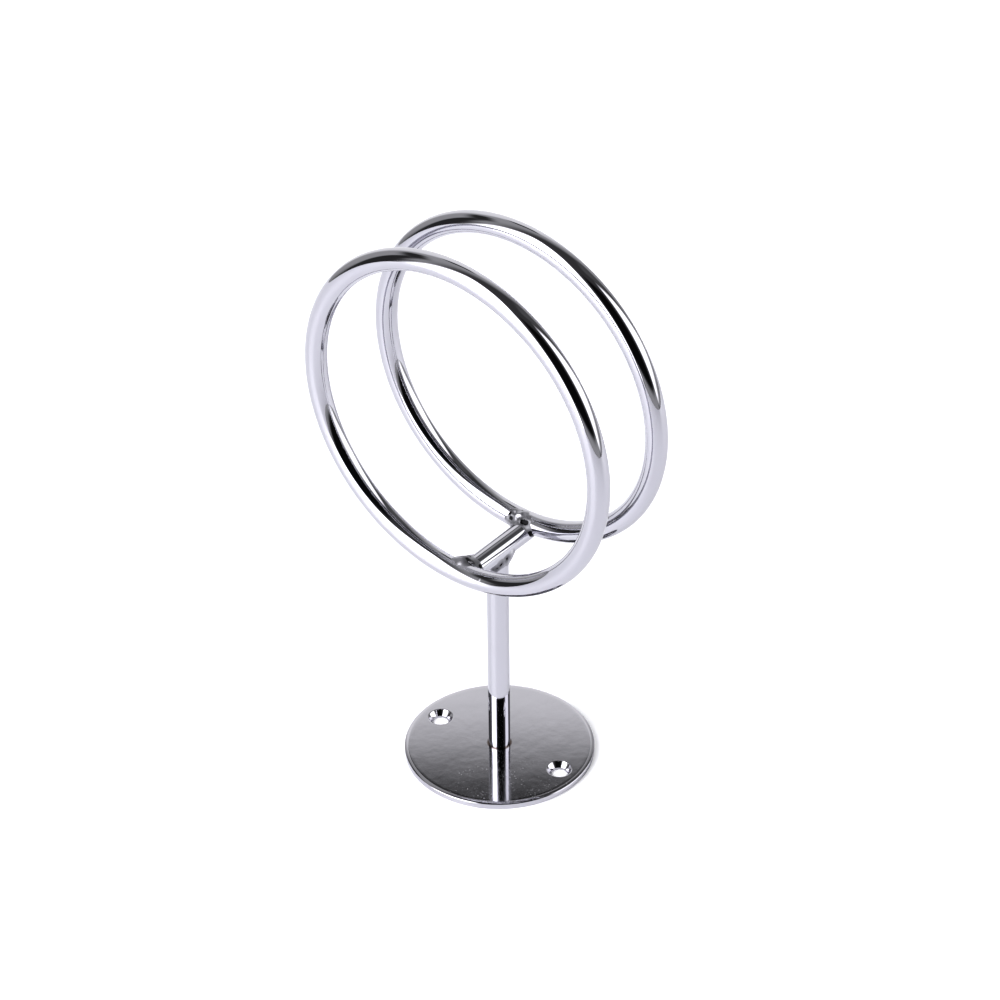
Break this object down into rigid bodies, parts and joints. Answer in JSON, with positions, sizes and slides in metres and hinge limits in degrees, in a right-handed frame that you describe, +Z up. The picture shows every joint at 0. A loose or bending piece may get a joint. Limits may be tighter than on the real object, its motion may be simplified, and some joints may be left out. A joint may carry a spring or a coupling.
{
  "type": "hair dryer holder",
  "caption": "Chromed rod stand for a hair dryer: a pair of parallel upright rings on a short crossbar and post, with a round screw-down base plate.",
  "frame": {"origin": "underside of the base plate, on the post's axis, which is the centre of the screw-hole circle", "axes": "+Z up along the post; +Y along the crossbar from the larger front ring to the smaller back ring; +X to the right seen from the front"},
  "size_m": [0.1064, 0.055, 0.1745],
  "materials": {
    "rod": "bright chrome plate on steel rod",
    "plate": "chrome plate over a brushed, slightly satin disc",
    "weld": "chrome plate over an as-laid weld bead"
  },
  "bodies": {
    "root": {"base_plate": "plate", "post": "rod", "crossbar": "rod", "front_ring": "rod", "back_ring": "rod", "front_ring_seam_weld": "weld", "back_ring_seam_weld": "weld", "front_ring_joint_weld": "weld", "back_ring_joint_weld": "weld", "post_top_weld": "weld", "post_foot_weld": "weld"}
  },
  "joints": []
}
